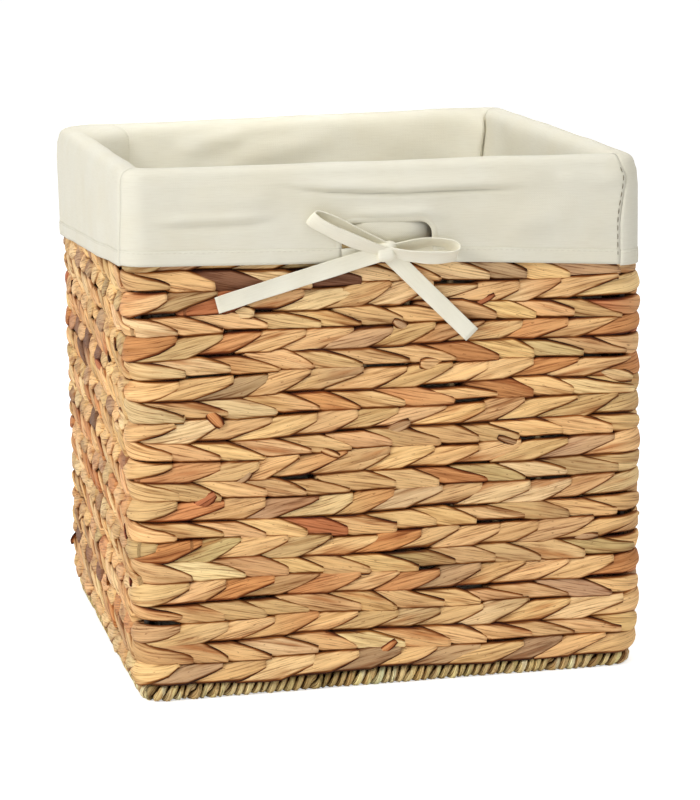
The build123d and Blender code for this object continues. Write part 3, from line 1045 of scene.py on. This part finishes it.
def onto_notch(place, height):
    """Places and heights of cuff points, with those near the notch's sides and top moved onto its edge."""
    distance = notch_distance(place, height)
    slide = np.where(np.abs(distance) < notch_snap, distance, 0)
    beside = np.abs(place) > notch_half - notch_corner
    above = height > notch_top - notch_corner
    flank = beside & (height < notch_top - notch_corner)
    return place - np.where(flank, slide * np.sign(place), 0), height - np.where(above & ~beside, slide, 0)


def liner_panel(wall):
    """Grid of one panel's points, its cloth coordinates and which of its points lie in the notch."""
    points, weave, cut = [], [], []
    right_corner = (wall + 1) % 4
    run = 0.0
    for half, height, drop, out, up, folded in liner_rows():
        bag = 1 - folded
        left_radius = bridge_radius(wall, height) * bag + cuff_corner * folded
        right_radius = bridge_radius(right_corner, height) * bag + cuff_corner * folded
        sewn_height = fold_start + drop * (hem_level(wall, half) - fold_start) if drop else height
        left_share = bag_seam_shares[wall] * bag + seam_share(wall, sewn_height) * folded
        right_share = bag_seam_shares[right_corner] * bag + seam_share(right_corner, sewn_height) * folded
        start = -(half - left_radius) - (1 - left_share) * left_radius * np.pi / 2
        end = half - right_radius + right_share * right_radius * np.pi / 2
        place = np.linspace(start, end, panel_columns)
        share = share_round(wall, place, half)
        heights = height + up * rim_ripple * ripple(share, 0.0, rim_phases, cuff_slants)
        if drop > 0:
            heights = fold_start + drop * (hem_level(wall, place) - fold_start)
        in_notch = np.zeros(panel_columns, bool)
        if folded < 1:
            push = out * bag_bulge(wall, place, heights) * bag
            lifted = heights + rim_lift(wall, place, heights)
            flat_left = bag if wall == left_wall else 0.0
            points.append(wall_point(wall, place, half, left_radius, right_radius, flat_left, push, lifted))
        else:
            if wall in notched_walls:
                place, heights = onto_notch(place, heights)
                in_notch = notch_distance(place, heights) < -0.2 * mm
            points.append(cuff_point(wall, place, heights))
        cut.append(in_notch)
        if len(points) > 1:
            run += np.linalg.norm(points[-1] - points[-2], axis=1).mean()
        weave.append(np.stack(np.broadcast_arrays(place, run, 0.5 * wall), axis=1))
    return np.array(points), np.array(weave), np.array(cut)


def thicken(piece, thickness):
    """Cloth thickness as a modifier, half to each side."""
    solid = piece.modifiers.new("thickness", "SOLIDIFY")
    solid.thickness = thickness
    solid.offset = 0.0
    return piece


for wall, side in enumerate(wall_sides):
    points, weave, cut = liner_panel(wall)
    rows, columns = points.shape[:2]
    faces = grid_faces(rows, columns)
    inside = cut.reshape(-1)[faces].any(axis=1)
    panel = mesh_object(f"{side}_panel_cloth", points.reshape(-1, 3), faces[~inside], cotton,
                        {"weave": weave.reshape(-1, 3)})
    dress(thicken(panel, cloth_thickness), "liner", "cotton", f"liner_{side}_panel")

# The liner's base lies over the base stakes
base_steps = 60
base_wave = 0.9 * mm
base_fullness = 1.0 * mm
base_edge_fade = 20 * mm
base_reach = bag_half - 0.2 * mm
line = np.linspace(-base_reach, base_reach, base_steps)
x, y = np.meshgrid(line, line, indexing="xy")
inner = base_reach - bag_corner
corner_over = np.hypot(np.clip(np.abs(x) - inner, 0, None), np.clip(np.abs(y) - inner, 0, None))
pull = bag_corner / np.maximum(corner_over, bag_corner)
x, y = (np.sign(v) * (inner + (np.abs(v) - inner) * pull) for v in (x, y))
rise = base_wave * np.sin(90 * x + 20 * y) * np.sin(70 * y - 15 * x + 1) + base_fullness
edge_fade = np.clip((base_reach - np.maximum(np.abs(x), np.abs(y))) / base_edge_fade, 0, 1)
z = bag_bottom + cloth_thickness + rise * edge_fade
base_points = np.stack([x, y, z], axis=-1).reshape(-1, 3)
base_cloth = mesh_object("base_panel_cloth", base_points, grid_faces(base_steps, base_steps), cotton,
                         {"weave": np.stack([x, y, 0 * x], axis=-1).reshape(-1, 3)})
dress(thicken(base_cloth, cloth_thickness), "liner", "cotton", "liner_base_panel")


# Hem, bindings and stitches on the cuff

class Patches:
    """Small grids of cloth gathered into one mesh."""

    def __init__(self):
        self.points, self.faces, self.weave, self.count = [], [], [], 0

    def add(self, points, weave):
        rows, columns = points.shape[:2]
        self.faces.append(grid_faces(rows, columns, first=self.count))
        self.points.append(points.reshape(-1, 3))
        self.weave.append(weave.reshape(-1, 3))
        self.count += rows * columns

    def finish(self, name, material):
        return mesh_object(name, np.concatenate(self.points), np.concatenate(self.faces), material,
                           {"weave": np.concatenate(self.weave)})


def cuff_span(wall):
    """Places of the two seams that end a panel's hem."""
    turn = cuff_corner * np.pi / 2
    hem_middle = 255 * mm
    left = -(cuff_line - cuff_corner) - (1 - seam_share(wall, hem_middle)) * turn
    right = cuff_line - cuff_corner + seam_share((wall + 1) % 4, hem_middle) * turn
    return left, right


hem_lift = 0.3 * mm
hem_puff = 0.25 * mm
hem_rows = 6
hem = Patches()
hem_stitches = []
for wall in range(4):
    left, right = cuff_span(wall)
    spans = [(left, right)]
    if wall in notched_walls:
        spans = [(left, -notch_half), (notch_half, right)]
    for start, end in spans:
        place = np.linspace(start, end, max(8, int((end - start) / (2.2 * mm))))
        share = np.linspace(0, 1, hem_rows)[:, None]
        heights = hem_level(wall, place)[None] - 0.4 * mm + share * hem_height
        places = np.repeat(place[None], hem_rows, axis=0)
        points = cuff_point(wall, places, heights, hem_lift + hem_puff * np.sin(np.pi * share))
        hem.add(points, np.stack([places, heights, 0 * places + 3], axis=-1))
        hem_stitches.append((wall, start, end))
hem_band = thicken(hem.finish("hem_band", cotton), 0.8 * mm)
dress(hem_band, "liner", "cotton", "hem_tape")


def notch_outline(offset, corner_steps=12, flank_steps=8, top_steps=20):
    """Places and heights along the notch's edge, a distance outside it, from its left foot to its right."""
    inner = notch_half - notch_corner
    level = notch_top - notch_corner
    radius = notch_corner + offset
    foot = hem_level(0, 0.0) + 2 * mm
    left = [(-notch_half - offset, height) for height in np.linspace(foot, level, flank_steps)[:-1]]
    for angle in np.linspace(np.pi, np.pi / 2, corner_steps)[:-1]:
        left.append((-inner + radius * math.cos(angle), level + radius * math.sin(angle)))
    top = [(across, notch_top + offset) for across in np.linspace(-inner, inner, top_steps)]
    right = [(-place, height) for place, height in reversed(left)]
    return np.array(left + top + right).T


binding_offsets = (-0.4, 0.2, 1.4, 2.6, 3.0)
binding_lifts = (-0.3, 0.25, 0.32, 0.2, 0.0)
for wall in notched_walls:
    side = wall_sides[wall]
    strip, weave = [], []
    for offset, lift in zip(binding_offsets, binding_lifts):
        places, heights = notch_outline(offset * mm)
        strip.append(cuff_point(wall, places, heights, lift * mm))
        weave.append(np.stack([places, heights, 0 * places + 5], axis=-1))
    edge = Patches()
    edge.add(np.array(strip), np.array(weave))
    binding = thicken(edge.finish(f"{side}_notch_edge", cotton), 0.7 * mm)
    dress(binding, "liner", "cotton", f"{side}_notch_binding")


def stitch(gather, start, end, out, thickness, rings=5):
    """A short thread that arches from one place to another."""
    steps = np.linspace(0, 1, rings)
    arch = np.sin(np.pi * steps)
    centres = start + (end - start) * steps[:, None] + out * (0.45 * thickness * arch)[:, None]
    side = np.cross((end - start) / np.linalg.norm(end - start), out)
    girth = thickness / 2 * (0.55 + 0.45 * arch)
    side, out, tint = (np.tile(part, (rings, 1)) for part in (side, out, np.ones(3)))
    gather.add(centres, side, out, girth, girth, tint, False, sides=6)


def stitch_line(gather, wall, places, heights, pitch, gap, lift, thickness):
    """Stitches along a line on the cuff, with a gap between one and the next."""
    points = cuff_point(wall, places, heights, lift)
    raised = cuff_point(wall, places, heights, lift + mm)
    run = run_along(points)
    for begin in np.arange(gap, run[-1] - pitch, pitch):
        ends = np.array([begin, begin + pitch - gap])
        first, last = read_along(ends, run, points)
        out = read_along(ends, run, raised)[0] - first
        stitch(gather, first, last, out / np.linalg.norm(out), thickness)


hem_sewing = {"pitch": 3.4 * mm, "gap": 1.1 * mm, "lift": hem_lift + 0.4 * mm, "thickness": 0.35 * mm}
seam_sewing = {"pitch": 5.0 * mm, "gap": 1.8 * mm, "lift": 0.55 * mm, "thickness": 0.6 * mm}
hem_stitch_inset = 1.8 * mm
seam_stitch_inset = 1.4 * mm
hem_threads = Strands()
for wall, start, end in hem_stitches:
    places = np.linspace(start + 2 * mm, end - 2 * mm, 120)
    heights = hem_level(wall, places) + hem_height - hem_stitch_inset
    stitch_line(hem_threads, wall, places, heights, **hem_sewing)
seam_threads = Strands()
for wall in range(3):
    heights = np.linspace(fold_start + 4 * mm, hem_level(wall, cuff_line) + 1 * mm, 60)
    corner = (wall + 1) % 4
    places = cuff_line - cuff_corner + seam_share(corner, heights) * cuff_corner * np.pi / 2
    stitch_line(seam_threads, wall, places - seam_stitch_inset, heights, **seam_sewing)
stitches = [
    hem_threads.finish("hem_stitches", hem_thread),
    seam_threads.finish("seam_stitches", shaded_seam_thread),
]
for piece in stitches:
    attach(piece, "liner")


# Ribbon bows

ribbon_width = 10 * mm
ribbon_thickness = 0.7 * mm
knot_low, knot_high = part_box("front_bow_knot")
bow_shift = np.array([-1.8, 0.0, 0.6]) * mm
knot_middle = (np.array(knot_low) + np.array(knot_high)) / 2 + bow_shift
left_loop_route = ((0, -1.2), (16, -2.8), (35, -3.2), (49, -2.6), (51, 2.8), (36, 4.4), (17, 3.6), (0, 1.2))
right_loop_route = ((0, -1.2), (14, -4.2), (28, -6.4), (42, -3.6), (43, 4.2), (31, 6.0), (15, 4.4), (0, 1.2))
left_tail_route = ((0, 0), (26, -0.4), (52, -2.2), (79, -2.9), (104, -2.5))
right_tail_route = ((0, 0), (20, -0.4), (42, -2.2), (73.5, -2.6))
loop_tilt = math.radians(42)
loop_shift = 2.4 * mm  # how far the loops stand off the cuff more than the knot does


def spline_points(points):
    """Points along a smooth line that follows control points."""
    curve = bpy.data.curves.new("route", "CURVE")
    curve.dimensions = "3D"
    curve.resolution_u = 16
    spline = curve.splines.new("NURBS")
    spline.points.add(len(points) - 1)
    for control, point in zip(spline.points, points):
        control.co = (*point, 1)
    spline.order_u = 3
    spline.use_endpoint_u = True
    holder = placed("route", curve)
    mesh = bpy.data.meshes.new_from_object(holder)
    found = np.array([v.co for v in mesh.vertices])
    bpy.data.objects.remove(holder)
    bpy.data.curves.remove(curve)
    bpy.data.meshes.remove(mesh)
    return found


def ribbon(name, line, wide, cup=0.4 * mm):
    """A flat ribbon along a line, slightly hollow across, with a selvage each side."""
    ahead = np.gradient(line, axis=0)
    ahead /= np.linalg.norm(ahead, axis=1, keepdims=True)
    wide = wide - (wide * ahead).sum(axis=1, keepdims=True) * ahead
    wide /= np.linalg.norm(wide, axis=1, keepdims=True)
    face = np.cross(ahead, wide)
    across = np.array([-1, -0.9, -0.5, 0, 0.5, 0.9, 1])
    hollow = cup * (1 - across ** 2)
    run = run_along(line)
    flutter = 0.35 * mm * np.sin(run * 210 + 7)
    points = line[:, None] + (across * ribbon_width / 2)[None, :, None] * wide[:, None]
    points = points + (hollow[None] + flutter[:, None] * across[None])[..., None] * face[:, None]
    weave = np.stack(np.broadcast_arrays(run[:, None], (across * ribbon_width / 2)[None], 0.0), axis=-1)
    strip = Patches()
    strip.add(points, weave)
    return thicken(strip.finish(name, ribbon_cloth), ribbon_thickness)


def wall_directions(angle):
    """Directions along an angle in the wall's plane, square to it upwards, and out from the wall."""
    along = np.array([math.cos(angle), 0, math.sin(angle)])
    square = np.array([-math.sin(angle), 0, math.cos(angle)])
    return along, square if square[2] > 0 else -square, np.array([0.0, -1.0, 0.0])


def turned(points, half_turn):
    """Points as they are for the front, or turned half round for the back."""
    return points * np.array([-1, -1, 1]) if half_turn else points


def declare_ribbon(piece, node_name):
    dress(piece, "liner", "ribbon", node_name)


def loop_ribbon(side, half_turn, name, angle, route):
    """A bow loop: out along the wall and back, leaning so that it opens upwards."""
    along, square, out = wall_directions(math.radians(angle))
    through = out * math.cos(loop_tilt) - square * math.sin(loop_tilt)
    controls = []
    for ahead, aside in route:
        off_wall = loop_shift * min(1, ahead / 12)
        controls.append(knot_middle + along * ahead * mm + through * aside * mm + out * off_wall)
    line = spline_points(controls)
    wide = np.tile(square * math.cos(loop_tilt) + out * math.sin(loop_tilt), (len(line), 1))
    line, wide = turned(line, half_turn), turned(wide, half_turn)
    piece = ribbon(f"{side}_{name}_ribbon", line, wide)
    declare_ribbon(piece, f"{side}_bow_{name}")


def tail_ribbon(side, half_turn, name, angle, route):
    """A bow tail that lies down along the cuff and the woven wall."""
    along, square, out = wall_directions(math.radians(angle))
    line = spline_points([knot_middle + along * ahead * mm + out * off * mm for ahead, off in route])
    wide = np.tile(square, (len(line), 1)) + 0.12 * out
    line, wide = turned(line, half_turn), turned(wide, half_turn)
    piece = ribbon(f"{side}_{name}_ribbon", line, wide)
    declare_ribbon(piece, f"{side}_bow_{name}")


def knot_wrap(side, half_turn):
    """The knot: a band wrapped tightly round the crossing, with soft folds."""
    half = np.array([6.3, 4.6, 6.0]) * mm
    rows, columns = 22, 36
    up = np.linspace(-np.pi / 2, np.pi / 2, rows)[:, None]
    round_angle = np.linspace(0, 2 * np.pi, columns, endpoint=False)[None]
    soft = 0.75
    ring = np.abs(np.cos(up)) ** soft
    fold = 1 + 0.07 * np.cos(5 * round_angle + 1.2 * np.sin(2 * up)) * np.cos(up) ** 2
    x = half[0] * ring * pressed(np.cos(round_angle), soft) * fold
    y = half[1] * ring * pressed(np.sin(round_angle), soft) * fold
    z = half[2] * pressed(np.sin(up), soft) + 0 * round_angle
    waist = 1 - 0.12 * np.exp(-(z / (2.2 * mm)) ** 2)
    points = np.stack([x * waist, y, z + 0.12 * x], axis=-1).reshape(-1, 3) + knot_middle
    weave = np.stack([x, z, y], axis=-1).reshape(-1, 3)
    faces = grid_faces(rows, columns, False, True)
    piece = mesh_object(f"{side}_knot_wrap", turned(points, half_turn), faces, ribbon_cloth, {"weave": weave})
    dress(piece, "liner", "ribbon", f"{side}_bow_knot")


def lead_ribbons(side, half_turn):
    """Two short leads from the ends of the hem into the knot."""
    hem_z = hem_level(0, 0.0) + hem_height / 2
    strips = Patches()
    for sign in (-1, 1):
        foot = np.array([sign * (notch_half + 2 * mm), -cuff_half - 1.6 * mm, hem_z])
        middle = np.array([sign * notch_half * 0.5, -cuff_half - 1.2 * mm, hem_z + 1.5 * mm])
        line = spline_points([foot, middle, knot_middle + np.array([sign * 2 * mm, 2.5 * mm, 0])])
        across = np.linspace(-0.5, 0.5, 5) * 0.85 * ribbon_width
        points = line[:, None] + across[None, :, None] * upward
        weave = np.stack(np.broadcast_arrays(line[:, 0][:, None], across[None], 0.0), axis=-1)
        strips.add(turned(points, half_turn), weave)
    piece = thicken(strips.finish(f"{side}_leads", ribbon_cloth), ribbon_thickness)
    dress(piece, "liner", "ribbon", f"{side}_tie_leads")


for half_turn, side in enumerate(("front", "back")):
    loop_ribbon(side, half_turn, "left_loop", 153, left_loop_route)
    loop_ribbon(side, half_turn, "right_loop", -1, right_loop_route)
    tail_ribbon(side, half_turn, "left_tail", 195.3, left_tail_route)
    tail_ribbon(side, half_turn, "right_tail", -45.2, right_tail_route)
    knot_wrap(side, half_turn)
    lead_ribbons(side, half_turn)


# Camera, at the photograph's viewing angle
image_height = 800
focal_pixels = 2943.0
pan = math.radians(12.17)
tilt = math.radians(10.59)
roll = math.radians(-0.97)
camera_place = (-0.3819, -1.8178, 0.4939)
forward = np.array([math.sin(pan) * math.cos(tilt), math.cos(pan) * math.cos(tilt), -math.sin(tilt)])
level = np.array([math.cos(pan), -math.sin(pan), 0])
lifted = np.cross(level, forward)
right_hand = math.cos(roll) * level + math.sin(roll) * lifted
head = -math.sin(roll) * level + math.cos(roll) * lifted
lens = bpy.data.cameras.new("camera")
lens.sensor_width = 36
lens.lens = focal_pixels / image_height * lens.sensor_width
camera = placed("camera", lens)
turn = Matrix([[right_hand[k], head[k], -forward[k]] for k in range(3)])
camera.matrix_world = Matrix.Translation(camera_place) @ turn.to_4x4()
bpy.context.scene.camera = camera


# Floor, world and lamps
floor_reach = 12.0
floor_glow = 0.55  # brings the floor up to white where the camera sees it
sky_light = 0.46  # the sky's strength on the object; the camera sees it at 1, which is white

floor_settings = {
    "Base Color": floor_white,
    "Roughness": 0.9,
    "Specular IOR Level": 0.1,
    "Emission Color": plain,
}
floor_paint, floor_tree, floor_shader = new_material("floor_paint", floor_settings)
seen = node(floor_tree, "ShaderNodeLightPath").outputs["Is Camera Ray"]
glow = calculated(floor_tree, "MULTIPLY", seen, floor_glow)
link(floor_tree, glow, floor_shader.inputs["Emission Strength"])
floor_corners = [(x * floor_reach, y * floor_reach, 0) for x, y in ((-1, -1), (1, -1), (1, 1), (-1, 1))]
floor = mesh_object("floor", floor_corners, [(0, 1, 2, 3)], floor_paint)

world = bpy.data.worlds.new("studio")
bpy.context.scene.world = world
world.use_nodes = True
sky = world.node_tree
background = sky.nodes["Background"]
rays = node(sky, "ShaderNodeLightPath")
shown = rays.outputs["Is Camera Ray"]
for kind in ("Is Glossy Ray", "Is Transmission Ray"):
    shown = calculated(sky, "MAXIMUM", shown, rays.outputs[kind])
strength = node(sky, "ShaderNodeMapRange", {"Value": shown, "To Min": sky_light, "To Max": 1.0})
link(sky, plain, background.inputs["Color"])
link(sky, strength.outputs["Result"], background.inputs["Strength"])


def soft_lamp(name, place, aim, size, power, spread=180):
    """A square area lamp that points at a place, its beam as wide as spread in degrees."""
    lamp = bpy.data.lights.new(name, "AREA")
    lamp.size = size
    lamp.energy = power
    lamp.spread = math.radians(spread)
    made = placed(name, lamp)
    made.location = place
    made.rotation_euler = (Vector(place) - Vector(aim)).to_track_quat("Z", "Y").to_euler()


soft_lamp("key", (-2.6, -1.5, 1.9), (0, 0, 0.2), 1.4, 60)
soft_lamp("front", (0.4, -2.4, 2.4), (0, 0, 0.2), 2.0, 12)
soft_lamp("top", (0.2, 0.0, 2.2), (0, 0, 0.1), 1.6, 14)
soft_lamp("inside", (0.2, -0.30, 0.85), (-0.05, 0.14, 0.28), 0.2, 0.11, 40)

bpy.context.scene.view_settings.view_transform = "Standard"
